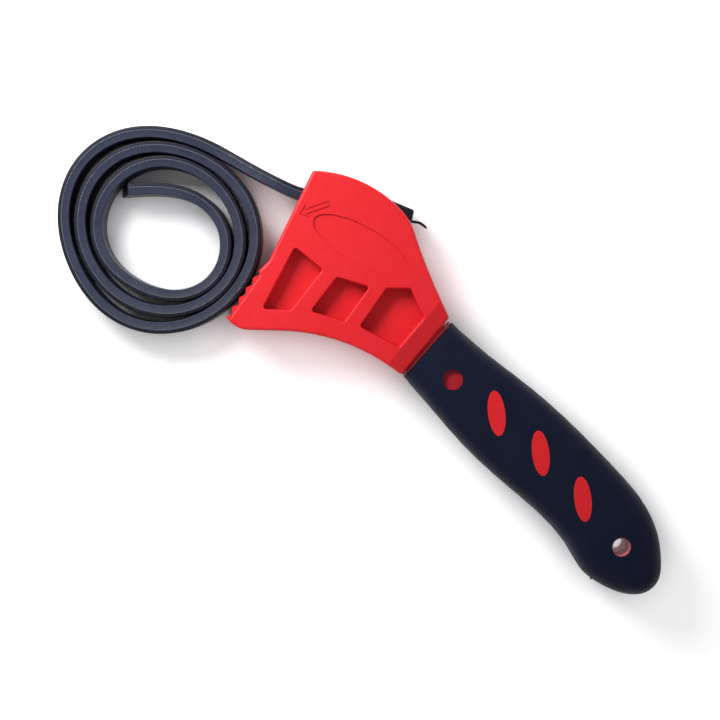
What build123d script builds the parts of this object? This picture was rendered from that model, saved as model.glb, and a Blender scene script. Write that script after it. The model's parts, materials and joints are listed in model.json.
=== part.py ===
from build123d import *
import math
import os

# Rubber-strap oil filter wrench, in millimetres, lying on its side.
# Origin: under the middle of the tool's own outline, on the plane that it lies on.
# +X runs from the hanging hole to the head, +Y towards the toothed nose, +Z up through the head.

# ---- driving dimensions -------------------------------------------------------------------------

# Head
HEAD_THICKNESS = 25.0
HEAD_EDGE_RADIUS = 1.2
HEAD_CORNER_RADIUS = 1.4
FRONT_CORNER = (102.5, -24.0)
BACK_ARC_MIDDLE = (85.6, -35.0)
BACK_ARC_END = (67.4, -38.0)
BACK_RUN_START = (58.5, -35.6)
BACK_RUN_MIDDLE = (42.6, -28.8)
COLLAR_BACK = (26.5, -23.3)
COLLAR_NOSE_SIDE = (23.1, 5.1)
BELLY_MIDDLE = (46.4, 12.0)
BELLY_END = (67.4, 27.2)
NOSE_START = (75.5, 35.3)
THROAT_HIGH = (89.1, 16.9)
THROAT_LOW = (89.2, 11.6)
SHOULDER_LENGTH = 6.6
SHOULDER_DROP = 2.2

# Teeth on the nose
TOOTH_COUNT = 5
NOSE_TIP = (85.0, 38.1)
FIRST_TOOTH_TIP = (88.6, 20.4)
TOOTH_DEPTH = 1.25
TOOTH_ROOT_OVERLAP = 1.0
TOOTH_END_GAP = 0.15
NOSE_TIP_SETBACK = 0.3
FIRST_TOOTH_BACK = 0.2

# Windows, blind pockets in both faces of the head
WINDOW_DEPTH = 6.0
WINDOW_CORNER_RADIUS = 1.1
WINDOW_RIM_RADIUS = 0.5
WINDOW_TAPER = 4.0
# Each window's corners go anticlockwise seen from above.
WINDOWS = (
    ((77.7, 26.1), (69.8, 18.6), (72.7, -1.0), (86.2, 0.8)),
    ((64.5, 13.4), (52.7, 6.7), (55.7, -9.4), (67.0, -2.9)),
    ((47.5, 3.9), (31.5, -1.4), (33.0, -16.0), (44.7, -20.2), (51.0, -13.6)),
)

# Oval label recess, left blank, and the arrow for the turning direction
LABEL_CENTRE = (69.3, -17.9)
LABEL_RADII = (20.6, 7.2)
LABEL_ANGLE = 17.3
LABEL_DEPTH = 0.6
ARROW_TIP = (94.0, -8.7)
ARROW_TAIL = (88.9, -20.1)
ARROW_HEAD_LENGTH = 3.6
ARROW_HEAD_WIDTH = 5.8
ARROW_SHAFT_WIDTH = 2.4
ARROW_LINE = 0.6
ARROW_DEPTH = 0.4

# Strap
STRAP_WIDTH = 17.0
STRAP_THICKNESS = 4.5
STOP_LENGTH = 9.5
STOP_INNER_SIDE = 4.1
STOP_OUTER_SIDE_AT_END = 4.1
STOP_OUTER_SIDE_AT_STRAP = 5.6
STOP_ROUNDING = 0.8
PLY_THICKNESS = 0.75
PLY_WIDTH = 5.0
PLY_GRIP_LENGTH = 6.0
PLY_TONGUE_MIDDLE = (60.7, -39.9)
PLY_TONGUE_END = (57.7, -40.7)

# Slots for the strap through the head
STRAP_EXIT = (63.0, -38.3)
SLOT_ANGLE = 32.8
SLOT_CLEARANCE = 0.4
SLOT_EDGE_CLEARANCE = 0.5
SLOT_WIDTH = STRAP_WIDTH + 2 * SLOT_EDGE_CLEARANCE
STRAP_TRAVEL = 4.0
STOP_SEAT_GAP = 0.2
RUNNING_SLOT_OFFSET = 12.1
RUNNING_SLOT_HEIGHT = 6.0
SLOT_OVERSHOOT = 40.0

# Swing of the free strap at the slot's mouth
SWING_OFFSET = 2.6
SWING_GAP = 0.3

# Route of the strap's middle line outside the head, as (x, y) with the height of its middle
LEAD_POINTS = (
    (107.5, -11.2, 12.5),
    (115.8, -8.3, 11.2),
    (124.9, -5.6, 9.4),
    (132.3, -3.4, 8.5),
)
TAIL_POINTS = (
    (115.3, 14.2),
    (122.3, 14.2),
    (129.3, 16.4),
    (135.8, 20.7),
    (141.5, 26.2),
    (146.3, 31.9),
)
TAIL_OVERLAP = 1.0

# Each bend's radius, as a share of its shorter run
BEND_SHARE = 0.45

# Coil of the strap, standing on its edge
COIL_CENTRE = (125.8, 34.1)
COIL_START_ANGLE = -72.6
COIL_TURNS = 2.837
COIL_RADIUS = 39.8
COIL_PITCH = 5.98
COIL_OVAL = 1.25
COIL_OVAL_ANGLE = 6.0
COIL_LOBE = 1.37
COIL_LOBE_FADE = 0.77
COIL_DRIFT = 0.63
COIL_DRIFT_ANGLE = 224.5
COIL_POINTS_PER_TURN = 24

# Handle: the soft sleeve's outline from the collar round the butt and back
NECK_ANGLE = 5.0
NECK_CENTRE = (23.1, -8.8)
GRIP_OUTLINE = (
    (24.0, -22.8),
    (4.5, -24.3),
    (-15.7, -27.4),
    (-37.9, -29.2),
    (-60.1, -29.5),
    (-76.3, -28.4),
    (-88.4, -24.3),
    (-97.0, -18.1),
    (-101.8, -11.9),
    (-101.8, -5.8),
    (-97.0, 0.3),
    (-88.4, 4.5),
    (-79.3, 6.1),
    (-69.2, 4.1),
    (-56.1, 2.9),
    (-37.9, 4.4),
    (-13.6, 6.1),
    (4.6, 5.4),
    (21.9, 4.8),
)
GRIP_THICKNESS_NECK = 21.0
GRIP_THICKNESS_BUTT = 20.0
GRIP_BELLY_X = -41.1
GRIP_ROUNDING = 8.0
SLEEVE_WALL = 2.0
CORE_OUTLINE_POINTS = 30
COLLAR_WIDTH = 26.8
COLLAR_THICKNESS = 20.6
COLLAR_LENGTH = 0.6
COLLAR_GAP = 0.2
NECK_WIDTH = 24.6
NECK_THICKNESS = 18.6
NECK_ROUNDING = 5.5
NECK_DEPTH_IN_HANDLE = 12.0
NECK_DEPTH_IN_HEAD = 5.0

# Openings of the sleeve
ISLAND_CENTRES = ((-12.0, -11.2), (-34.4, -12.9), (-58.0, -12.5))
ISLAND_RADII = (8.6, 3.3)
ISLAND_ANGLE = -36.5
PEEP_CENTRE = (8.5, -7.9)
PEEP_RADIUS = 3.9
HANG_CENTRE = (-81.5, -10.6)
HANG_RADIUS = 3.15
HANG_SLEEVE_RADIUS = 3.7
HANG_BOSS_RADIUS = 5.4
HANG_BOSS_LENGTH = 20.0

# How far the tools that cut the head and the handle reach past them
CUT_OVERSHOOT = 1.0
HANDLE_OVERSHOOT = 2.0
HANDLE_REACH = 60.0
NECK_END_SPREAD = 5.0

# ---- places worked out from them ----------------------------------------------------------------

TOLERANCE = 0.001
UPRIGHT_SHARE = 0.9
CORNER_REACH = 0.5
MIDDLE_Z = HEAD_THICKNESS / 2
SLOT_DIRECTION = Vector(math.cos(math.radians(SLOT_ANGLE)), math.sin(math.radians(SLOT_ANGLE)), 0)
SLOT_PLANE_NORMAL = Vector(-SLOT_DIRECTION.Y, SLOT_DIRECTION.X, 0)


def on_slot(distance, sideways=0.0, z=MIDDLE_Z):
    """A point that distance from the strap's back exit along the anchor slot, towards the front."""
    start = Vector(STRAP_EXIT[0], STRAP_EXIT[1], z)
    return start + SLOT_DIRECTION * distance + SLOT_PLANE_NORMAL * sideways


def mouth_distance():
    """How far the anchor slot runs from the strap's back exit to the head's front face."""
    front = Vector(*THROAT_LOW) - Vector(*FRONT_CORNER)
    to_front = Vector(*FRONT_CORNER) - Vector(*STRAP_EXIT)
    across = SLOT_DIRECTION.X * front.Y - SLOT_DIRECTION.Y * front.X
    return (to_front.X * front.Y - to_front.Y * front.X) / across


MOUTH_DISTANCE = mouth_distance()
SWING_CENTRE = on_slot(MOUTH_DISTANCE + SWING_OFFSET)


def coil_radius(turns, angle):
    """Radius of the strap's middle line after that many turns, at that angle in degrees."""
    oval = COIL_OVAL * math.cos(math.radians(2 * (angle - COIL_OVAL_ANGLE)))
    lobe = (COIL_LOBE - COIL_LOBE_FADE * turns) * math.cos(math.radians(3 * angle))
    drift = COIL_DRIFT * turns * math.cos(math.radians(angle - COIL_DRIFT_ANGLE))
    return COIL_RADIUS - COIL_PITCH * turns + oval + lobe + drift


def coil_point(turns, outwards=0.0):
    """A point of the coil, in plan, with an offset away from the coil's centre."""
    angle = COIL_START_ANGLE + 360 * turns
    radius = coil_radius(turns, angle) + outwards
    x = COIL_CENTRE[0] + radius * math.cos(math.radians(angle))
    y = COIL_CENTRE[1] + radius * math.sin(math.radians(angle))
    return (x, y)


def coil_points(first_turn, last_turn, outwards=0.0):
    """Evenly spaced points of the coil between two turn counts."""
    steps = round((last_turn - first_turn) * COIL_POINTS_PER_TURN)
    span = last_turn - first_turn
    return [coil_point(first_turn + span * i / steps, outwards) for i in range(steps + 1)]


# ---- head ---------------------------------------------------------------------------------------


def head_outline():
    """The head in plan, with the nose cut straight along the roots of its teeth."""
    root = tooth_frame()
    corner = Vector(*FRONT_CORNER)
    back = ThreePointArc(corner, BACK_ARC_MIDDLE, BACK_ARC_END)
    back_turn = TangentArc(BACK_ARC_END, BACK_RUN_START, tangent=back % 1)
    back_run = ThreePointArc(BACK_RUN_START, BACK_RUN_MIDDLE, COLLAR_BACK)
    collar = Line(COLLAR_BACK, COLLAR_NOSE_SIDE)
    belly = ThreePointArc(COLLAR_NOSE_SIDE, BELLY_MIDDLE, BELLY_END)
    belly_run = Line(BELLY_END, NOSE_START)
    nose_root = root["nose"]
    nose = TangentArc(NOSE_START, nose_root, tangent=belly_run % 1)
    teeth = Line(nose_root, root["throat"])
    throat = Polyline(root["throat"], THROAT_HIGH, THROAT_LOW, FRONT_CORNER)
    return make_face([back, back_turn, back_run, collar, belly, belly_run, nose, teeth, throat])


def tooth_frame():
    """The line of tooth tips, its direction and the ends of the root line below it."""
    tip = Vector(*NOSE_TIP)
    row = Vector(*FIRST_TOOTH_TIP) - tip
    along = row.normalized()
    out = Vector(-along.Y, along.X, 0)
    pitch = row.length / (TOOTH_COUNT - 1)
    return {
        "tip": tip,
        "along": along,
        "out": out,
        "pitch": pitch,
        "nose": tip - out * TOOTH_DEPTH - along * NOSE_TIP_SETBACK,
        "throat": tip - out * TOOTH_DEPTH + along * (row.length + pitch / 2),
    }


def teeth():
    """The row of vee teeth that bites the filter through the strap."""
    row = tooth_frame()
    half = row["pitch"] / 2
    inwards = row["out"] * -TOOTH_ROOT_OVERLAP
    solids = []
    for i in range(TOOTH_COUNT):
        tip = row["tip"] + row["along"] * row["pitch"] * i
        root = tip - row["out"] * TOOTH_DEPTH
        before = root - row["along"] * (half if i else FIRST_TOOTH_BACK)
        after = root + row["along"] * half
        profile = make_face(Polyline(tip, after, after + inwards, before + inwards, before, close=True))
        solids.append(Pos(0, 0, TOOTH_END_GAP) * extrude(profile, HEAD_THICKNESS - 2 * TOOTH_END_GAP))
    return solids


def is_upright(edge):
    """True for an edge that runs straight up."""
    return abs((edge % 0.5).Z) > UPRIGHT_SHARE


def is_on_face(edge):
    """True for an edge that lies in one of the head's two faces."""
    z = (edge @ 0.5).Z
    return min(abs(z), abs(z - HEAD_THICKNESS)) < TOLERANCE


def is_crease(edge):
    """True for the line across each face where the shoulder starts to slope."""
    collar_width = COLLAR_NOSE_SIDE[1] - COLLAR_BACK[1]
    is_across = abs((edge @ 0).Y - (edge @ 1).Y) > collar_width / 2
    return is_on_face(edge) and is_across and (edge @ 0.5).X < BELLY_MIDDLE[0]


def is_rim(edge):
    """True for the edges round the head's two faces, not its upright corners or the shoulder's crease."""
    return not is_upright(edge) and not is_crease(edge)


def is_window_rim(edge):
    """True for the edges round the mouths of the windows."""
    at = edge @ 0.5
    outlines = [Polyline(*corners, close=True) for corners in WINDOWS]
    spread = min(outline.distance_to(Vector(at.X, at.Y, 0)) for outline in outlines)
    return is_on_face(edge) and spread < WINDOW_CORNER_RADIUS / 2


def shoulder_cuts():
    """The two wedges that slope the head's faces down to the collar."""
    collar = Vector(*COLLAR_BACK) - Vector(*COLLAR_NOSE_SIDE)
    start = Vector(*COLLAR_NOSE_SIDE) - collar
    end = Vector(*COLLAR_BACK) + collar
    plane = Plane(origin=start, x_dir=(1, 0, 0), z_dir=(end - start).normalized())
    wedge = Polyline(
        (0, SHOULDER_DROP),
        (SHOULDER_LENGTH, 0),
        (SHOULDER_LENGTH, -SHOULDER_LENGTH),
        (-SHOULDER_LENGTH, -SHOULDER_LENGTH),
        (-SHOULDER_LENGTH, SHOULDER_DROP),
        close=True,
    )
    lower = extrude(plane * make_face(wedge), (end - start).length)
    upper = mirror(lower, Plane(origin=(0, 0, MIDDLE_Z), z_dir=(0, 0, 1)))
    return [lower, upper]


def window_pockets():
    """The blind pockets of both faces, narrowing towards their floors."""
    pockets = []
    for corners in WINDOWS:
        mouth = make_face(Polyline(*corners, close=True))
        mouth = fillet(mouth.vertices(), WINDOW_CORNER_RADIUS)
        lower = extrude(mouth, WINDOW_DEPTH, taper=WINDOW_TAPER)
        pockets.append(lower)
        pockets.append(mirror(lower, Plane(origin=(0, 0, MIDDLE_Z), z_dir=(0, 0, 1))))
    return pockets


def label_recess():
    """The shallow oval recess in the upper face."""
    oval = Ellipse(*LABEL_RADII, rotation=LABEL_ANGLE)
    return Pos(*LABEL_CENTRE, HEAD_THICKNESS - LABEL_DEPTH) * extrude(oval, LABEL_DEPTH + CUT_OVERSHOOT)


def arrow_groove():
    """The outline of an arrow, engraved in the upper face."""
    tip = Vector(*ARROW_TIP)
    tail = Vector(*ARROW_TAIL)
    back = (tail - tip).normalized()
    side = Vector(-back.Y, back.X, 0)
    neck = tip + back * ARROW_HEAD_LENGTH
    half_head = side * (ARROW_HEAD_WIDTH / 2)
    half_shaft = side * (ARROW_SHAFT_WIDTH / 2)
    shape = Polyline(
        tip,
        neck + half_head,
        neck + half_shaft,
        tail + half_shaft,
        tail - half_shaft,
        neck - half_shaft,
        neck - half_head,
        close=True,
    )
    outer = make_face(shape)
    ring = outer - offset(outer, -ARROW_LINE, kind=Kind.INTERSECTION)
    return Pos(0, 0, HEAD_THICKNESS - ARROW_DEPTH) * extrude(ring, ARROW_DEPTH + CUT_OVERSHOOT)


def slot_box(start, end, height, sideways=0.0):
    """A box along the anchor slot, from one distance to another, as wide as the slot."""
    length = end - start
    centre = on_slot((start + end) / 2, sideways)
    return Pos(*centre) * Rot(0, 0, SLOT_ANGLE) * Box(length, height, SLOT_WIDTH)


def stop_plan(gap, travel):
    """The stop's wedge in plan, larger all round by the gap and longer by the travel."""
    end = on_slot(-gap, z=0)
    inner = SLOT_PLANE_NORMAL * (STOP_INNER_SIDE + gap)
    outer_at_end = SLOT_PLANE_NORMAL * -(STOP_OUTER_SIDE_AT_END + gap)
    outer_at_strap = SLOT_PLANE_NORMAL * -(STOP_OUTER_SIDE_AT_STRAP + gap)
    strap_end = on_slot(STOP_LENGTH, z=0)
    travel_end = on_slot(STOP_LENGTH + travel, z=0)
    corners = [end + inner, end + outer_at_end, strap_end + outer_at_strap]
    if travel:
        corners.append(travel_end + outer_at_strap)
    corners.append(travel_end + inner)
    return make_face(Polyline(*corners, close=True))


def slots():
    """The anchor slot with the stop's pocket, and the running slot for the free end."""
    height = STRAP_THICKNESS + 2 * SLOT_CLEARANCE
    anchor = slot_box(-SLOT_OVERSHOOT, MOUTH_DISTANCE + SLOT_OVERSHOOT, height)
    plan = stop_plan(SLOT_CLEARANCE, STRAP_TRAVEL + STOP_SEAT_GAP)
    pocket = Pos(0, 0, MIDDLE_Z - SLOT_WIDTH / 2) * extrude(plan, SLOT_WIDTH)
    running_end = MOUTH_DISTANCE + SLOT_OVERSHOOT
    running = slot_box(-SLOT_OVERSHOOT, running_end, RUNNING_SLOT_HEIGHT, RUNNING_SLOT_OFFSET)
    return [anchor, pocket, running]


def head():
    """The solid head with its rounded rims, pockets, slots and teeth."""
    block = extrude(head_outline(), HEAD_THICKNESS)
    block -= shoulder_cuts()
    upright = [e for e in block.edges().filter_by(Axis.Z) if is_outer_corner(e)]
    block = fillet(upright, HEAD_CORNER_RADIUS)
    rim = [e for e in block.edges() if is_rim(e)]
    block = fillet(rim, HEAD_EDGE_RADIUS)
    block += teeth()
    block -= window_pockets()
    block = fillet([e for e in block.edges() if is_window_rim(e)], WINDOW_RIM_RADIUS)
    block -= label_recess()
    block -= arrow_groove()
    block -= slots()
    return block


def is_outer_corner(edge):
    """True for the upright edges at the head's front corner and at the collar's two corners."""
    at = edge @ 0.5
    corners = (FRONT_CORNER, COLLAR_BACK, COLLAR_NOSE_SIDE)
    return any(math.hypot(at.X - x, at.Y - y) < CORNER_REACH for x, y in corners)


# ---- handle -------------------------------------------------------------------------------------


def handle_outline(inset):
    """The handle's outline in plan, moved inwards by the inset and stopped that far from the collar."""
    outer = Spline(*GRIP_OUTLINE)
    if not inset:
        return outer
    first = inset / outer.length
    span = 1 - 2 * first
    points = []
    for i in range(CORE_OUTLINE_POINTS + 1):
        at = first + span * i / CORE_OUTLINE_POINTS
        tangent = outer % at
        inwards = Vector(tangent.Y, -tangent.X, 0)
        points.append(outer @ at + inwards * inset)
    return Spline(*points)


def handle_solid(inset):
    """The handle's rounded body, smaller all round by the inset."""
    edge = handle_outline(inset)
    plan = make_face([edge, Line(edge @ 1, edge @ 0)])
    tall = extrude(plan, HEAD_THICKNESS)
    neck_x = GRIP_OUTLINE[0][0]
    butt_x = min(x for x, y in GRIP_OUTLINE) - HANDLE_OVERSHOOT
    low_neck = (HEAD_THICKNESS - GRIP_THICKNESS_NECK) / 2 + inset
    low_butt = (HEAD_THICKNESS - GRIP_THICKNESS_BUTT) / 2 + inset
    neck_end = (neck_x + HANDLE_OVERSHOOT, low_neck)
    lower = ThreePointArc(neck_end, (GRIP_BELLY_X, inset), (butt_x, low_butt))
    upper = mirror(lower, Plane(origin=(0, MIDDLE_Z, 0), z_dir=(0, 1, 0)))
    ends = [Line(lower @ 0, upper @ 0), Line(lower @ 1, upper @ 1)]
    side = Plane.XZ * make_face([lower, upper, *ends])
    solid = tall & extrude(side, HANDLE_REACH, both=True)
    rim = [e for e in solid.edges() if not is_upright(e) and not is_neck_edge(e)]
    return fillet(rim, GRIP_ROUNDING - inset)


def is_neck_edge(edge):
    """True for the edges of the handle's flat end at the collar."""
    ends = [edge @ 0, edge @ 0.5, edge @ 1]
    return all(p.X > NECK_CENTRE[0] - NECK_END_SPREAD for p in ends)


def neck_prism(width, thickness, start, length):
    """A rounded bar along the neck, from a distance behind the sleeve's front towards the head."""
    turn = Pos(*NECK_CENTRE, MIDDLE_Z) * Rot(0, 0, NECK_ANGLE)
    section = Plane.YZ * RectangleRounded(width, thickness, NECK_ROUNDING)
    return turn * Pos(start, 0, 0) * extrude(section, length)


def islands(body):
    """The oval pads of the core that come up flush through the sleeve."""
    pads = []
    for centre in ISLAND_CENTRES:
        oval = Pos(*centre) * Ellipse(*ISLAND_RADII, rotation=ISLAND_ANGLE)
        pads.append(extrude(oval, HEAD_THICKNESS) & body)
    return pads


def core(outer):
    """The hard core of the handle with its neck, collar, pads and hanging-hole boss."""
    body = handle_solid(SLEEVE_WALL)
    neck_length = NECK_DEPTH_IN_HANDLE + NECK_DEPTH_IN_HEAD
    body += neck_prism(NECK_WIDTH, NECK_THICKNESS, -NECK_DEPTH_IN_HANDLE, neck_length)
    body += neck_prism(COLLAR_WIDTH, COLLAR_THICKNESS, COLLAR_GAP, COLLAR_LENGTH)
    body += islands(outer)
    body += Pos(*HANG_CENTRE, MIDDLE_Z) * Cylinder(HANG_BOSS_RADIUS, HANG_BOSS_LENGTH)
    body -= Pos(*HANG_CENTRE, MIDDLE_Z) * Cylinder(HANG_RADIUS, HEAD_THICKNESS)
    return body


def sleeve(outer, inner):
    """The soft sleeve moulded over the core, with its openings."""
    body = outer - inner
    body -= Pos(*PEEP_CENTRE, MIDDLE_Z) * Cylinder(PEEP_RADIUS, HEAD_THICKNESS)
    body -= Pos(*HANG_CENTRE, MIDDLE_Z) * Cylinder(HANG_SLEEVE_RADIUS, HEAD_THICKNESS)
    return body


# ---- strap --------------------------------------------------------------------------------------


def ply():
    """The strap's reinforcing ply where it ends in the stop, and its tongue outside."""
    tongue = ThreePointArc(STRAP_EXIT, PLY_TONGUE_MIDDLE, PLY_TONGUE_END)
    held = Line(on_slot(PLY_GRIP_LENGTH, z=0), STRAP_EXIT)
    strips = []
    for line in (tongue, held):
        start_plane = Plane(origin=line @ 0, x_dir=(0, 0, 1), z_dir=line % 0)
        section = start_plane * Rectangle(PLY_WIDTH, PLY_THICKNESS)
        strips.append(sweep(section, path=line))
    return Pos(0, 0, MIDDLE_Z) * (strips[0] + strips[1])


def stop_block(ply_solid):
    """The thick end of the strap that seats in the head's pocket."""
    block = Pos(0, 0, MIDDLE_Z - STRAP_WIDTH / 2) * extrude(stop_plan(0, 0), STRAP_WIDTH)
    block = fillet(block.edges().filter_by(Axis.Z), STOP_ROUNDING)
    return block - ply_solid


def anchor_run():
    """The strap inside the anchor slot, from the stop to the mouth."""
    end = MOUTH_DISTANCE + SWING_OFFSET - STRAP_THICKNESS / 2 - SWING_GAP
    length = end - STOP_LENGTH
    run = Box(length, STRAP_THICKNESS, STRAP_WIDTH)
    return Pos(*on_slot(STOP_LENGTH + length / 2)) * Rot(0, 0, SLOT_ANGLE) * run


def strap_tube(points):
    """A flat strap on edge along straight runs joined by tangent arcs, with its bend radii."""
    runs = [(b - a).length for a, b in zip(points, points[1:])]
    radii = []
    for i in range(1, len(points) - 1):
        turn = (points[i] - points[i - 1]).get_angle(points[i + 1] - points[i])
        radii.append(BEND_SHARE * min(runs[i - 1], runs[i]) / math.tan(math.radians(turn / 2)))
    path = FilletPolyline(*points, radius=radii)
    start = Plane(origin=points[0], x_dir=(0, 0, 1), z_dir=path % 0)
    upright = Pos(0, 0, STRAP_WIDTH) * path
    tube = sweep(start * Rectangle(STRAP_WIDTH, STRAP_THICKNESS), path=path, binormal=upright.wire())
    print("bend radii", [round(r, 1) for r in radii])
    expected = path.length * STRAP_WIDTH * STRAP_THICKNESS
    print("length", round(path.length, 1), "volume ratio", round(tube.volume / expected, 4))
    return tube


def strap_lead(coil):
    """The strap from the mouth of the slot down to the coil, with a round nose at the swing axis."""
    start_x, start_y = coil_point(0)
    points = [SWING_CENTRE]
    points += [Vector(*p) for p in LEAD_POINTS]
    points += [Vector(start_x, start_y, STRAP_WIDTH / 2)]
    nose = Pos(*SWING_CENTRE) * Cylinder(STRAP_THICKNESS / 2, STRAP_WIDTH)
    return strap_tube(points) + nose - coil


def strap_coil():
    """The outer shape of the coiled strap, stepped where the lead joins it and the tail leaves it."""
    half = STRAP_THICKNESS / 2
    outer = Spline(*coil_points(0, 1, half))
    inner = Spline(*coil_points(COIL_TURNS - 1, COIL_TURNS, -half))
    outer_face = make_face([outer, Line(outer @ 1, outer @ 0)])
    inner_face = make_face([inner, Line(inner @ 1, inner @ 0)])
    return extrude(outer_face - inner_face, STRAP_WIDTH)


def strap_tail(coil):
    """The free end inside the coil."""
    middle = STRAP_WIDTH / 2
    start = Vector(*coil_point(COIL_TURNS), middle)
    points = [Vector(x, y, middle) for x, y in TAIL_POINTS]
    back = (start - points[0]).normalized()
    return strap_tube([start + back * TAIL_OVERLAP, *points]) - coil


# ---- the nodes ----------------------------------------------------------------------------------


def build_nodes():
    """Every node of the wrench by name."""
    outer = handle_solid(0)
    inner = core(outer)
    ply_solid = ply()
    coil = strap_coil()
    return {
        "wrench_body": head() + inner,
        "grip_sleeve": sleeve(outer, inner),
        "strap_anchor_run": anchor_run(),
        "strap_stop_block": stop_block(ply_solid),
        "strap_ply": ply_solid,
        "strap_lead": strap_lead(coil),
        "strap_coil": coil,
        "strap_tail": strap_tail(coil),
    }


def main():
    os.makedirs("parts", exist_ok=True)
    for name, solid in build_nodes().items():
        export_step(solid, f"parts/{name}.step")


main()
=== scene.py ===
import json
import math

import bmesh
import bpy
from mathutils import Matrix, Vector


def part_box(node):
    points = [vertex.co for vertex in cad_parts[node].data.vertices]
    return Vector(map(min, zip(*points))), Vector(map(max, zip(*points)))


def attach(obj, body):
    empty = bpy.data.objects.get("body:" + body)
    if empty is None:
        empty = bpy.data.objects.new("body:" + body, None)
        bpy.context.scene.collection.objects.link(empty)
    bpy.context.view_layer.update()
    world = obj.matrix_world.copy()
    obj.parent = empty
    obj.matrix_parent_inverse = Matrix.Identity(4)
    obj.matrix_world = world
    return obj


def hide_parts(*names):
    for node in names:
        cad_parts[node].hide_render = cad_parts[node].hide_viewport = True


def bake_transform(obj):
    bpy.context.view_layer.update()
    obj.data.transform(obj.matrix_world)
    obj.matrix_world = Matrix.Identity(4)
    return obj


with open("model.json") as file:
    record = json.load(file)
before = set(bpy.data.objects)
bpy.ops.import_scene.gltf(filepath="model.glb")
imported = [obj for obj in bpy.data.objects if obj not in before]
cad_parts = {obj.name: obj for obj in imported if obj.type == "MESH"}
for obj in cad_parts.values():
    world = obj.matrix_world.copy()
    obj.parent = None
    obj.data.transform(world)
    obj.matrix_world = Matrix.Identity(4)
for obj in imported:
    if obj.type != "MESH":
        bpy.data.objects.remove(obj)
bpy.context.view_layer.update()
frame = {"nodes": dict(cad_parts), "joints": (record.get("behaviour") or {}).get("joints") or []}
NODES = frame["nodes"]
JOINTS = {joint["name"]: joint for joint in frame["joints"]}
MM = 0.001

# ---- driving dimensions, in millimetres ---------------------------------------------------------

# Camera: straight above the tool, turned so that the handle runs down to the right
VIEW_CENTRE = (38.2, 12.4)
VIEW_RIGHT = (-0.6884, -0.7254)
VIEW_WIDTH = 272.2
HEAD_TOP = 25.0
CAMERA_HEIGHT = 750.0
CAMERA_RISE = 22.0
SENSOR = 36.0

# Strap
STRAP_WIDTH = 17.0
STRAP_THICKNESS = 4.5
STRAP_CORNER = 0.45
# Where the slot's mouth and the free strap's start are, measured back from the swing axis
ANCHOR_END_BACK = 11.6
# The ply's line along the strap's edge, as distances across the strap, and the darker outer band beside it
PLY_LINE_INNER = -0.55
PLY_LINE_OUTER = -0.95
PLY_LINE_HEIGHT = 0.06
DARK_BAND_DROP = 0.14
END_SLANT = 4.2

# Route of the free strap: the part's own points, as x, y and the height of the strap's middle
LEAD_POINTS = (
    (107.5, -11.2, 12.5),
    (115.8, -8.3, 11.2),
    (124.9, -5.6, 9.4),
    (132.3, -3.4, 8.5),
)
TAIL_POINTS = (
    (115.3, 14.2),
    (122.3, 14.2),
    (129.3, 16.4),
    (135.8, 20.7),
    (141.5, 26.2),
    (146.3, 31.9),
)
COIL_CENTRE = (125.8, 34.1)
COIL_START_ANGLE = -72.6
COIL_TURNS = 2.837
COIL_RADIUS = 39.8
COIL_PITCH = 5.98
COIL_OVAL = 1.25
COIL_OVAL_ANGLE = 6.0
COIL_LOBE = 1.37
COIL_LOBE_FADE = 0.77
COIL_DRIFT = 0.63
COIL_DRIFT_ANGLE = 224.5
COIL_POINTS_PER_TURN = 48

# Stop block, its end measured back from the swing axis, and the ply's tongue behind it
STOP_BACK = 45.596
STOP_LENGTH = 9.5
STOP_INNER_SIDE = 4.1
STOP_OUTER_SIDE_AT_END = 4.1
STOP_OUTER_SIDE_AT_STRAP = 5.6
STOP_ROUNDING = 0.8
STOP_CENTRE_SIDE = -0.4
FLASH_HEIGHT = 0.5
FLASH_DEPTH = 0.22
TONGUE_POINTS = ((61.9, -39.1), (60.2, -40.5), (57.7, -40.7))
PLY_WIDTH = 5.0
PLY_THICKNESS = 0.7
PLY_GRIP_LENGTH = 3.0
PLY_ROWS = 12
PLY_RIB = 0.22
THREAD_COUNT = 9
THREAD_RADII = (0.16, 0.14, 0.05)
THREAD_EDGE_GAP = 0.3
THREAD_ROOT = 0.2
THREAD_LENGTH = 0.7
THREAD_LENGTH_CHANGE = 0.45
THREAD_SWAY = 0.35

# Grip seam
MIDDLE_HEIGHT = 12.5
SEAM_RADIUS = 0.28
SEAM_FLATNESS = 0.7
SEAM_STEP = 1.2
SEAM_END_GAP = 4.2
SEAM_SIDES = 6
SPUR_PLACE = (-83.9, 5.4)
SPUR_LENGTH = 0.95
SPUR_PROFILE = ((-0.6, 1.0), (0.2, 0.85), (0.65, 0.6), (SPUR_LENGTH, 0.25))
SPUR_DIRECTION = (-0.1, 1, 0)
SPUR_SIDES = 8

# How far the floor lies below the tool
FLOOR_GAP = 0.1

# Places on the handle with painted shade (the peep recess) or painted light (a paler red in the hanging
# hole), and the painted pool of light on the floor below the hanging hole
PEEP_CENTRE = (8.5, -7.9, 21.8)
PEEP_REACH = (3.2, 4.6)
HANG_CENTRE = (-81.5, -10.6, 0.0)
HANG_REACH = (3.3, 3.8)
GLOW_REACH = (2.4, 3.6)

# The band of painted shade at the flange in front of the grip: its direction and how far along it the band
# lies
FLANGE_ANGLE = 5.0
FLANGE_SPAN = (22.2, 23.4)


def v(x, y, z=0.0):
    """A point given in millimetres, in metres."""
    return Vector((x * MM, y * MM, z * MM))


# ---- camera -------------------------------------------------------------------------------------

RIGHT = Vector((*VIEW_RIGHT, 0)).normalized()
BACK = Vector((0, 0, 1))
UP = BACK.cross(RIGHT)


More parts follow.
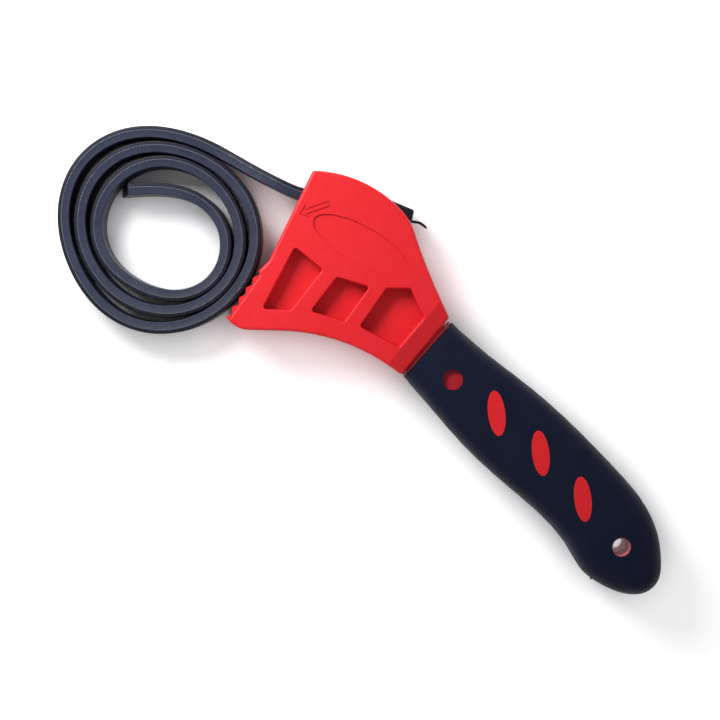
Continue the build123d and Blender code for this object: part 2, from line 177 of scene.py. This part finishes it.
def add_camera():
    """The view from above; a small shift keeps the frame while the eye stands nearer the strap."""
    data = bpy.data.cameras.new("camera")
    data.sensor_width = SENSOR
    data.lens = SENSOR * CAMERA_HEIGHT / VIEW_WIDTH
    data.shift_y = -CAMERA_RISE / VIEW_WIDTH
    data.clip_start = 0.01
    data.clip_end = 10
    camera = bpy.data.objects.new("camera", data)
    bpy.context.scene.collection.objects.link(camera)
    turn = Matrix((RIGHT, UP, BACK)).transposed().to_4x4()
    place = v(*VIEW_CENTRE, HEAD_TOP + CAMERA_HEIGHT) + UP * CAMERA_RISE * MM
    camera.matrix_world = Matrix.Translation(place) @ turn
    bpy.context.scene.camera = camera


add_camera()

# ---- materials ----------------------------------------------------------------------------------


class Graph:
    """A small helper for writing a material's nodes."""

    def __init__(self, name):
        self.material = bpy.data.materials.new(name)
        self.material.use_nodes = True
        self.tree = self.material.node_tree
        self.tree.nodes.clear()
        self.out = self.tree.nodes.new("ShaderNodeOutputMaterial")
        self.shader = self.tree.nodes.new("ShaderNodeBsdfPrincipled")
        self.link(self.shader.outputs[0], self.out.inputs[0])
        self.coordinates = self.node("ShaderNodeTexCoord").outputs["Object"]

    def node(self, kind, **values):
        made = self.tree.nodes.new(kind)
        for key, value in values.items():
            setattr(made, key, value)
        return made

    def link(self, a, b):
        self.tree.links.new(a, b)

    def put(self, value, socket):
        """Links a socket, or writes a number or colour into the input."""
        if isinstance(value, bpy.types.NodeSocket):
            self.link(value, socket)
        elif isinstance(value, (int, float)) or len(value) == len(socket.default_value):
            socket.default_value = value
        else:
            socket.default_value = (*value, 1.0)

    def noise(self, scale, detail=3.0, rough=0.55, stretch=None):
        """Noise with that many cells per metre."""
        made = self.node("ShaderNodeTexNoise")
        made.inputs["Scale"].default_value = scale
        made.inputs["Detail"].default_value = detail
        made.inputs["Roughness"].default_value = rough
        source = self.coordinates
        if stretch:
            mapping = self.node("ShaderNodeMapping")
            mapping.inputs["Scale"].default_value = stretch
            self.link(source, mapping.inputs["Vector"])
            source = mapping.outputs[0]
        self.link(source, made.inputs["Vector"])
        return made.outputs["Fac"]

    def ramp(self, source, low, dark, high, light):
        """A colour that goes from dark to light as the source goes from low to high."""
        made = self.node("ShaderNodeValToRGB")
        first, last = made.color_ramp.elements
        first.position = low
        first.color = (*dark, 1.0)
        last.position = high
        last.color = (*light, 1.0)
        self.link(source, made.inputs["Fac"])
        return made.outputs["Color"]

    def span(self, source, low, high, out_low, out_high):
        made = self.node("ShaderNodeMapRange")
        made.inputs["From Min"].default_value = low
        made.inputs["From Max"].default_value = high
        made.inputs["To Min"].default_value = out_low
        made.inputs["To Max"].default_value = out_high
        self.link(source, made.inputs["Value"])
        return made.outputs["Result"]

    def mix(self, factor, a, b):
        made = self.node("ShaderNodeMix", data_type="RGBA")
        self.put(factor, made.inputs[0])
        self.put(a, made.inputs[6])
        self.put(b, made.inputs[7])
        return made.outputs[2]

    def near(self, centre, reach, flat=False):
        """1 close to a place and 0 away from it; flat leaves height out."""
        place = self.coordinates
        if flat:
            level = self.node("ShaderNodeVectorMath", operation="MULTIPLY")
            level.inputs[1].default_value = (1, 1, 0)
            self.link(place, level.inputs[0])
            place = level.outputs[0]
        apart = self.node("ShaderNodeVectorMath", operation="DISTANCE")
        apart.inputs[1].default_value = v(*centre)
        self.link(place, apart.inputs[0])
        return self.span(apart.outputs["Value"], reach[0] * MM, reach[1] * MM, 1.0, 0.0)

    def band(self, angle, low, high):
        """1 in the slice between two distances along a level direction, 0 outside it."""
        along = self.node("ShaderNodeVectorMath", operation="DOT_PRODUCT")
        along.inputs[1].default_value = (math.cos(angle), math.sin(angle), 0)
        self.link(self.coordinates, along.inputs[0])
        apart = self.node("ShaderNodeMath", operation="COMPARE")
        apart.inputs[1].default_value = (low + high) / 2 * MM
        apart.inputs[2].default_value = (high - low) / 2 * MM
        self.link(along.outputs["Value"], apart.inputs[0])
        return apart.outputs[0]

    def edges(self, distance):
        """Near 1 on convex edges, worked out from the shape itself."""
        made = self.node("ShaderNodeAmbientOcclusion", inside=True, samples=6)
        made.inputs["Distance"].default_value = distance
        return made.outputs["AO"]

    def hollows(self, distance):
        """Near 0 in corners and grooves."""
        made = self.node("ShaderNodeAmbientOcclusion", samples=6)
        made.inputs["Distance"].default_value = distance
        return made.outputs["AO"]

    def bump(self, height, distance, strength=1.0, under=None):
        made = self.node("ShaderNodeBump")
        made.inputs["Distance"].default_value = distance
        made.inputs["Strength"].default_value = strength
        self.link(height, made.inputs["Height"])
        if under:
            self.link(under, made.inputs["Normal"])
        return made.outputs["Normal"]

    def set(self, name, value):
        self.put(value, self.shader.inputs[name])


def red_plastic():
    """Red moulded nylon: fine satin grain, faint flow marks, paler rubbed edges, painted shade in corners and
    recesses, at the peep and at the flange, and painted light in the hanging hole.
    """
    g = Graph("red_nylon")
    flow = g.noise(24, 4, 0.55, stretch=(1, 0.45, 1))
    blotch = g.noise(150, 4, 0.6)
    base = g.ramp(flow, 0.3, (0.87, 0.014, 0.022), 0.7, (0.92, 0.019, 0.029))
    colour = g.mix(g.span(blotch, 0.4, 0.75, 0.0, 0.4), base, (0.80, 0.010, 0.016))
    rubbed = g.span(g.edges(0.0012), 0.25, 0.6, 0.14, 0.0)
    colour = g.mix(rubbed, colour, (0.93, 0.075, 0.10))
    # Painted shade: darker red in corners, grooves and pocket floors, from an occlusion mask.
    painted_shade = g.span(g.hollows(0.009), 0.1, 0.95, 0.6, 0.0)
    colour = g.mix(painted_shade, colour, (0.42, 0.006, 0.014))
    # Painted shade: darker red in the peep recess.
    colour = g.mix(g.near(PEEP_CENTRE, PEEP_REACH), colour, (0.48, 0.010, 0.018))
    # Painted shade: a dark red line at the flange in front of the grip.
    flange_shade_band = g.band(math.radians(FLANGE_ANGLE), *FLANGE_SPAN)
    colour = g.mix(flange_shade_band, colour, (0.30, 0.012, 0.022))
    # Painted light: a paler, pinker red on the walls of the hanging hole.
    painted_light_in_hole = g.mix(flow, (0.80, 0.20, 0.24), (0.92, 0.34, 0.38))
    g.set("Base Color", g.mix(g.near(HANG_CENTRE, HANG_REACH, flat=True), colour, painted_light_in_hole))
    g.set("Roughness", g.span(g.noise(900, 4, 0.6), 0.3, 0.7, 0.36, 0.5))
    g.set("Specular IOR Level", 0.4)
    g.set("Subsurface Weight", 0.04)
    g.set("Subsurface Radius", (0.003, 0.0006, 0.0005))
    g.set("Subsurface Scale", 0.5)
    fine = g.bump(g.noise(3000, 3, 0.65), 0.00003, 0.55)
    g.set("Normal", g.bump(flow, 0.00012, 0.25, under=fine))
    return g.material


def grip_rubber():
    """Soft-touch dark rubber with a fine matt grain, faint handling marks and dust."""
    g = Graph("soft_grip")
    cloud = g.noise(40, 4, 0.55)
    base = g.ramp(cloud, 0.3, (0.0050, 0.0078, 0.025), 0.72, (0.0085, 0.0125, 0.033))
    handled = g.span(g.noise(220, 5, 0.7), 0.55, 0.8, 0.0, 0.35)
    colour = g.mix(handled, base, (0.013, 0.017, 0.036))
    specks = g.span(g.noise(1900, 3, 0.6), 0.70, 0.78, 0.0, 0.25)
    colour = g.mix(specks, colour, (0.035, 0.04, 0.06))
    rubbed = g.span(g.edges(0.0008), 0.2, 0.6, 0.3, 0.0)
    g.set("Base Color", g.mix(rubbed, colour, (0.025, 0.03, 0.05)))
    g.set("Roughness", g.span(g.noise(160, 4, 0.6), 0.3, 0.7, 0.5, 0.64))
    g.set("Specular IOR Level", 0.14)
    fine = g.bump(g.noise(3800, 3, 0.7), 0.00004, 0.6)
    g.set("Normal", g.bump(cloud, 0.00015, 0.25, under=fine))
    return g.material


def strap_rubber(name, dark, light, bloom):
    """Strap rubber, lightly bloomed, with fine drawn lines along its walls."""
    g = Graph(name)
    cloud = g.noise(55, 4, 0.6)
    base = g.ramp(cloud, 0.3, dark, 0.7, light)
    patches = g.span(g.noise(380, 5, 0.7), 0.5, 0.8, 0.0, 0.45)
    colour = g.mix(patches, base, bloom)
    specks = g.span(g.noise(2100, 3, 0.6), 0.7, 0.78, 0.0, 0.25)
    g.set("Base Color", g.mix(specks, colour, (0.07, 0.08, 0.10)))
    g.set("Roughness", g.span(g.noise(300, 4, 0.6), 0.3, 0.7, 0.42, 0.58))
    g.set("Specular IOR Level", 0.25)
    drawn = g.noise(260, 4, 0.65, stretch=(1, 1, 9))
    fine = g.bump(g.noise(3000, 3, 0.65), 0.00003, 0.5)
    g.set("Normal", g.bump(drawn, 0.0001, 0.5, under=fine))
    return g.material


def woven_ply(name, dark, light):
    """Rubber-coated woven ply: two crossed sets of fine threads."""
    g = Graph(name)
    threads = []
    for direction in ("X", "Z"):
        wave = g.node("ShaderNodeTexWave", wave_type="BANDS", bands_direction=direction)
        wave.inputs["Scale"].default_value = 420
        wave.inputs["Distortion"].default_value = 0.8
        wave.inputs["Detail"].default_value = 2
        g.link(g.coordinates, wave.inputs["Vector"])
        threads.append(wave.outputs["Fac"])
    weave = g.node("ShaderNodeMath", operation="MAXIMUM")
    g.link(threads[0], weave.inputs[0])
    g.link(threads[1], weave.inputs[1])
    cloth = weave.outputs[0]
    base = g.ramp(cloth, 0.3, dark, 0.95, light)
    g.set("Base Color", g.mix(g.span(g.noise(700, 4, 0.7), 0.45, 0.8, 0.0, 0.6), base, dark))
    g.set("Roughness", g.span(cloth, 0.0, 1.0, 0.9, 0.7))
    g.set("Specular IOR Level", 0.3)
    g.set("Normal", g.bump(cloth, 0.00008, 0.8))
    return g.material


def floor_paper():
    """A plain pale light table with the faintest paper tone, whose glow is dimmed near the tool as painted
    shade and raised below the hanging hole as a painted pool of light.
    """
    g = Graph("floor")
    tone = g.noise(3, 3, 0.5)
    g.set("Base Color", g.ramp(tone, 0.3, (0.87, 0.87, 0.875), 0.7, (0.90, 0.90, 0.905)))
    g.set("Roughness", 0.9)
    g.set("Specular IOR Level", 0.1)
    g.set("Emission Color", (1.0, 1.0, 1.0))
    glow_painted_shade_and_light = g.node("ShaderNodeMath", operation="MAXIMUM")
    # Painted shade: the glow dims near the tool and in the gaps between its parts.
    g.link(g.span(g.hollows(0.014), 0.25, 0.9, 0.0, 0.58), glow_painted_shade_and_light.inputs[0])
    # Painted light: a pool of glow on the floor below the hanging hole.
    painted_light_below_hole = g.near(HANG_CENTRE, GLOW_REACH, flat=True)
    g.link(g.span(painted_light_below_hole, 0.0, 1.0, 0.0, 0.58), glow_painted_shade_and_light.inputs[1])
    g.set("Emission Strength", glow_painted_shade_and_light.outputs[0])
    return g.material


RED = red_plastic()
GRIP = grip_rubber()
RUBBER = strap_rubber("strap_rubber", (0.022, 0.028, 0.052), (0.036, 0.045, 0.076), (0.055, 0.066, 0.098))
# A darker copy of the strap rubber, for the outer band and outer wall of the strap and for the stop block.
DARK_RUBBER = strap_rubber("strap_dark_rubber", (0.006, 0.007, 0.014), (0.010, 0.012, 0.023), (0.02, 0.023, 0.036))
PLY_LINE = woven_ply("ply_edge", (0.035, 0.042, 0.065), (0.13, 0.145, 0.19))
PLY = woven_ply("ply_fabric", (0.010, 0.011, 0.018), (0.045, 0.048, 0.062))

# ---- mesh helpers -------------------------------------------------------------------------------


def finish_mesh(name, bm, materials, crease=30):
    """Makes a shown object from a bmesh, smooth but for its creases."""
    bmesh.ops.recalc_face_normals(bm, faces=bm.faces)
    mesh = bpy.data.meshes.new(name)
    bm.to_mesh(mesh)
    bm.free()
    for material in materials:
        mesh.materials.append(material)
    mesh.shade_smooth()
    mesh.set_sharp_from_angle(angle=math.radians(crease))
    obj = bpy.data.objects.new(name, mesh)
    bpy.context.scene.collection.objects.link(obj)
    return obj


def nurbs_line(points, steps):
    """Points read from a smooth NURBS line with those control points, which are in metres."""
    data = bpy.data.curves.new("route", "CURVE")
    data.dimensions = "3D"
    data.resolution_u = steps
    spline = data.splines.new("NURBS")
    spline.points.add(len(points) - 1)
    for place, point in zip(spline.points, points):
        place.co = (*point, 1.0)
    spline.order_u = 3
    spline.use_endpoint_u = True
    curve = bpy.data.objects.new("route", data)
    mesh = bpy.data.meshes.new_from_object(curve)
    line = [vertex.co.copy() for vertex in mesh.vertices]
    bpy.data.objects.remove(curve)
    bpy.data.curves.remove(data)
    bpy.data.meshes.remove(mesh)
    return line


def ring_of(bm, centre, across, up, radius, sides):
    """A ring of vertices round a centre, in the plane of two directions, with its radius in mm."""
    angles = [2 * math.pi * i / sides for i in range(sides)]
    return [bm.verts.new(centre + (across * math.cos(a) + up * math.sin(a)) * radius * MM) for a in angles]


def loft(bm, rings, bands=None):
    """Walls between rings of vertices, in the material of their band, and a cap at each end."""
    count = len(rings[0])
    for a, b in zip(rings, rings[1:]):
        for i in range(count):
            j = (i + 1) % count
            face = bm.faces.new((a[i], a[j], b[j], b[i]))
            face.material_index = bands[i] if bands else 0
    bm.faces.new(reversed(rings[0]))
    return bm.faces.new(rings[-1])


def swept(name, line, section, bands, materials, slant=0.0):
    """A strip on its edge along a line. section lists (across, up) points; bands their materials."""
    bm = bmesh.new()
    rings = []
    top = max(up for _, up in section)
    for i, point in enumerate(line):
        ahead = line[min(i + 1, len(line) - 1)]
        behind = line[max(i - 1, 0)]
        tangent = (ahead - behind).normalized()
        side = BACK.cross(tangent).normalized()
        rise = tangent.cross(side)
        last = i == len(line) - 1
        ring = []
        for across, up in section:
            lean = slant * (top - up) / (2 * top) if last else 0.0
            place = point + (side * across + rise * up + tangent * lean) * MM
            ring.append(bm.verts.new(place))
        rings.append(ring)
    loft(bm, rings, bands).material_index = len(materials) - 1
    return finish_mesh(name, bm, materials)


def strap_section():
    """The strap's rounded section and the material of each of its sides: rubber, ply line, darker rubber."""
    half = STRAP_THICKNESS / 2
    top = STRAP_WIDTH / 2
    low = top - DARK_BAND_DROP
    turn = [math.radians(18 * i) for i in range(6)]
    upper = []
    for a in turn:
        x = half - STRAP_CORNER + STRAP_CORNER * math.cos(a)
        upper.append((x, top - STRAP_CORNER + STRAP_CORNER * math.sin(a)))
    upper.append((PLY_LINE_INNER + 0.08, top))
    upper.append((PLY_LINE_INNER, top + PLY_LINE_HEIGHT - 0.02))
    upper.append((PLY_LINE_OUTER, top + PLY_LINE_HEIGHT - 0.05))
    upper.append((PLY_LINE_OUTER - 0.1, low))
    for a in turn:
        x = -half + STRAP_CORNER - STRAP_CORNER * math.sin(a)
        upper.append((x, low - STRAP_CORNER + STRAP_CORNER * math.cos(a)))
    lower = [(x, -y) for x, y in reversed(upper)]
    points = upper + lower
    bands = []
    for a, b in zip(points, points[1:] + points[:1]):
        middle = (a[0] + b[0]) / 2
        if middle > PLY_LINE_INNER:
            bands.append(0)
        elif middle > PLY_LINE_OUTER - 0.01:
            bands.append(1)
        else:
            bands.append(2)
    return points, bands


# ---- strap --------------------------------------------------------------------------------------

SWING_CENTRE = Vector(JOINTS["strap_swing"]["pos_m"])
SLIDE_AXIS = Vector(JOINTS["strap_slide"]["axis"]).normalized()
SLOT_SIDE = BACK.cross(SLIDE_AXIS)
SECTION, BANDS = strap_section()
STRAP_MATERIALS = (RUBBER, PLY_LINE, DARK_RUBBER)


def on_slot(back, sideways=0.0):
    """A point of the anchor slot's middle line, that far back from the swing axis."""
    return SWING_CENTRE - SLIDE_AXIS * back * MM + SLOT_SIDE * sideways * MM


def coil_point(turns):
    """A control point of the coil after that many turns."""
    angle = COIL_START_ANGLE + 360 * turns
    oval = COIL_OVAL * math.cos(math.radians(2 * (angle - COIL_OVAL_ANGLE)))
    lobe = (COIL_LOBE - COIL_LOBE_FADE * turns) * math.cos(math.radians(3 * angle))
    drift = COIL_DRIFT * turns * math.cos(math.radians(angle - COIL_DRIFT_ANGLE))
    radius = COIL_RADIUS - COIL_PITCH * turns + oval + lobe + drift
    x = COIL_CENTRE[0] + radius * math.cos(math.radians(angle))
    y = COIL_CENTRE[1] + radius * math.sin(math.radians(angle))
    return v(x, y, STRAP_WIDTH / 2)


def strap_route():
    """The strap's route from inside the slot's mouth to its free end."""
    points = [on_slot(ANCHOR_END_BACK), on_slot(ANCHOR_END_BACK / 2), on_slot(0)]
    points += [v(*point) for point in LEAD_POINTS]
    steps = round(COIL_TURNS * COIL_POINTS_PER_TURN)
    points += [coil_point(COIL_TURNS * i / steps) for i in range(steps + 1)]
    points += [v(x, y, STRAP_WIDTH / 2) for x, y in TAIL_POINTS]
    return points


def free_strap(held_pieces):
    """The strap from inside the slot's mouth to its free end; the held pieces are its fixed end and are not
    used here.
    """
    line = nurbs_line(strap_route(), 4)
    strap = swept("free_strap", line, SECTION, BANDS, STRAP_MATERIALS, slant=END_SLANT)
    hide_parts("strap_lead", "strap_coil", "strap_tail")
    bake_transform(strap)


def anchored_strap():
    """The strap inside the anchor slot, from the stop to the free strap's start."""
    line = [on_slot(STOP_BACK - STOP_LENGTH + 0.5), on_slot(ANCHOR_END_BACK)]
    strap = swept("anchored_strap", line, SECTION, BANDS, STRAP_MATERIALS)
    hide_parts("strap_anchor_run")
    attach(strap, "strap_anchor")
    return strap


def stop_block():
    """The moulded stop: a wedge with soft edges and a flash line at half height."""
    end = STOP_BACK
    inside = STOP_BACK - STOP_LENGTH
    plan = (
        on_slot(end, STOP_INNER_SIDE),
        on_slot(end, -STOP_OUTER_SIDE_AT_END),
        on_slot(inside, -STOP_OUTER_SIDE_AT_STRAP),
        on_slot(inside, STOP_INNER_SIDE),
    )
    bm = bmesh.new()
    half = BACK * STRAP_WIDTH / 2 * MM
    low = [bm.verts.new(corner - half) for corner in plan]
    high = [bm.verts.new(corner + half) for corner in plan]
    bm.faces.new(reversed(low))
    bm.faces.new(high)
    for i in range(len(plan)):
        j = (i + 1) % len(plan)
        bm.faces.new((low[i], low[j], high[j], high[i]))
    bmesh.ops.bevel(
        bm, geom=bm.edges[:], offset=STOP_ROUNDING * MM, segments=4, profile=0.5, affect="EDGES"
    )
    tall = STRAP_WIDTH / 2 * MM
    sides = [e for e in bm.edges if abs(e.verts[0].co.z - e.verts[1].co.z) > tall]
    cut = bmesh.ops.subdivide_edges(bm, edges=sides, cuts=3)
    middle = SWING_CENTRE.z
    centre = on_slot(STOP_BACK - STOP_LENGTH / 2, STOP_CENTRE_SIDE)
    for vertex in {x for x in cut["geom_inner"] if isinstance(x, bmesh.types.BMVert)}:
        above = vertex.co.z - middle
        if abs(above) < 1 * MM:
            out = vertex.co - centre
            out.z = 0
            vertex.co += out.normalized() * FLASH_DEPTH * MM
        else:
            vertex.co.z = middle + math.copysign(FLASH_HEIGHT * MM, above)
    # A fixed order, so that every run gives the same mesh
    order = Vector((1.0, 7.3, 91.7))
    bm.verts.sort(key=lambda vertex: vertex.co.dot(order))
    bm.faces.sort(key=lambda face: face.calc_center_median().dot(order))
    block = finish_mesh("stop_block", bm, [DARK_RUBBER])
    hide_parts("strap_stop_block")
    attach(block, "strap_anchor")
    return block


def frayed_threads(bm, line):
    """Short loose threads that stick out of the ply's end, each of its own length and sway."""
    reach = (line[-1] - line[-2]).normalized()
    side = BACK.cross(reach)
    top = PLY_WIDTH / 2 - THREAD_EDGE_GAP
    for i in range(THREAD_COUNT):
        up = BACK * (top - 2 * top * i / (THREAD_COUNT - 1)) * MM
        root = line[-1] + up - reach * THREAD_ROOT * MM
        sway = side * math.sin(2.4 * i) * THREAD_SWAY * MM
        length = THREAD_LENGTH + THREAD_LENGTH_CHANGE * math.sin(1.7 * i)
        tip = root + reach * length * MM + sway
        places = (root, (root + tip) / 2 + sway * 0.3, tip)
        loft(bm, [ring_of(bm, place, side, BACK, r, 4) for place, r in zip(places, THREAD_RADII)])


def ply_tongue():
    """The end of the woven ply that comes out of the stop, ribbed by its threads."""
    points = [on_slot(STOP_BACK - PLY_GRIP_LENGTH), on_slot(STOP_BACK)]
    points += [v(x, y, MIDDLE_HEIGHT) for x, y in TONGUE_POINTS]
    line = nurbs_line(points, 10)
    half = PLY_WIDTH / 2
    thin = PLY_THICKNESS / 2
    heights = [half - PLY_WIDTH * i / PLY_ROWS for i in range(PLY_ROWS + 1)]
    front = [(thin * (1 + PLY_RIB * (i % 2)), y) for i, y in enumerate(heights)]
    back = [(-x, y) for x, y in reversed(front)]
    section = front[::-1] + back[::-1]
    tongue = swept("ply_tongue", line, section, [0] * len(section), [PLY])
    bm = bmesh.new()
    bm.from_mesh(tongue.data)
    frayed_threads(bm, line)
    bmesh.ops.recalc_face_normals(bm, faces=bm.faces)
    bm.to_mesh(tongue.data)
    bm.free()
    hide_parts("strap_ply")
    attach(tongue, "strap_anchor")
    return tongue


# ---- grip seam ----------------------------------------------------------------------------------


def outer_loop(node, height):
    """The longest closed line in which a level plane cuts a node."""
    bm = bmesh.new()
    bm.from_mesh(NODES[node].data)
    bmesh.ops.remove_doubles(bm, verts=bm.verts, dist=0.00001)
    geometry = bm.verts[:] + bm.edges[:] + bm.faces[:]
    cut = bmesh.ops.bisect_plane(
        bm, geom=geometry, plane_co=(0, 0, height * MM), plane_no=(0, 0, 1), dist=0.0000001
    )
    bm.edges.index_update()
    edges = {e.index: e for e in cut["geom_cut"] if isinstance(e, bmesh.types.BMEdge)}
    loops = []
    while edges:
        first = edges.pop(min(edges))
        loop = [first.verts[0], first.verts[1]]
        growing = True
        while growing:
            growing = False
            for e in loop[-1].link_edges:
                if edges.pop(e.index, None):
                    loop.append(e.other_vert(loop[-1]))
                    growing = True
                    break
        loops.append([q.co.copy() for q in loop])
    bm.free()
    return max(loops, key=lambda line: sum((b - a).length for a, b in zip(line, line[1:])))


def evenly(line, step):
    """The same line with points a step apart."""
    result = [line[0]]
    left = step
    for a, b in zip(line, line[1:]):
        run = (b - a).length
        at = left
        while at < run:
            result.append(a.lerp(b, at / run))
            at += step
        left = at - run
    return result


def grip_seam():
    """The thin mould seam round the sleeve, with the spur that the gate left on it."""
    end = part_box("grip_sleeve")[1].x - SEAM_END_GAP * MM
    line = evenly(outer_loop("grip_sleeve", MIDDLE_HEIGHT), SEAM_STEP * MM)
    start = max(range(len(line)), key=lambda i: line[i].x)
    line = line[start:] + line[:start]
    line = [point for point in line if point.x < end]
    bm = bmesh.new()
    rings = []
    for i, point in enumerate(line):
        ahead = line[min(i + 1, len(line) - 1)]
        behind = line[max(i - 1, 0)]
        side = BACK.cross((ahead - behind).normalized()).normalized()
        fade = min(1.0, i / 4, (len(line) - 1 - i) / 4)
        radius = SEAM_RADIUS * (0.15 + 0.85 * fade) * (1 + 0.12 * math.sin(0.9 * i))
        rings.append(ring_of(bm, point, side, BACK * SEAM_FLATNESS, radius, SEAM_SIDES))
    loft(bm, rings)
    root = v(*SPUR_PLACE, MIDDLE_HEIGHT)
    out = Vector(SPUR_DIRECTION).normalized()
    across = Vector((1, 0, 0))
    loft(bm, [ring_of(bm, root + out * reach * MM, across, BACK, r, SPUR_SIDES) for reach, r in SPUR_PROFILE])
    seam = finish_mesh("grip_seam", bm, [GRIP], crease=60)
    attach(seam, "head")


# ---- carried-over nodes -------------------------------------------------------------------------


def repaint(node, material):
    """Gives a CAD node a procedural material."""
    obj = NODES[node]
    obj.data.materials.clear()
    obj.data.materials.append(material)


free_strap([anchored_strap(), stop_block(), ply_tongue()])
grip_seam()
repaint("wrench_body", RED)
repaint("grip_sleeve", GRIP)

# ---- floor and light ----------------------------------------------------------------------------


def add_floor():
    """A large floor just under the tool."""
    bm = bmesh.new()
    bmesh.ops.create_grid(bm, x_segments=8, y_segments=8, size=1.5)
    for vertex in bm.verts:
        vertex.co.z = -FLOOR_GAP * MM
    finish_mesh("floor", bm, [floor_paper()])


def screen(right, up, height):
    """A place given by how far it is right and up in the view, and how high, in metres."""
    return v(*VIEW_CENTRE) + RIGHT * right + UP * up + BACK * height


def add_area(name, place, target, size, power):
    """A round area light aimed at a point."""
    data = bpy.data.lights.new(name, "AREA")
    data.shape = "DISK"
    data.size = size
    data.energy = power
    light = bpy.data.objects.new(name, data)
    light.location = place
    light.rotation_euler = (target - place).to_track_quat("-Z", "Y").to_euler()
    bpy.context.scene.collection.objects.link(light)


def add_lights():
    """Broad soft light from the view's upper left, with weaker light all round."""
    target = v(*VIEW_CENTRE, 10)
    add_area("key", screen(-0.20, 0.24, 0.26), target, 0.20, 1.5)
    add_area("right", screen(0.95, 0.25, 0.75), target, 0.9, 1.3)
    add_area("low", screen(0.1, -1.0, 0.8), target, 0.9, 1.3)
    world = bpy.data.worlds.new("studio")
    world.use_nodes = True
    background = world.node_tree.nodes["Background"]
    background.inputs[0].default_value = (0.95, 0.97, 1.0, 1.0)
    background.inputs[1].default_value = 0.22
    bpy.context.scene.world = world
    bpy.context.scene.view_settings.view_transform = "Standard"


add_floor()
add_lights()
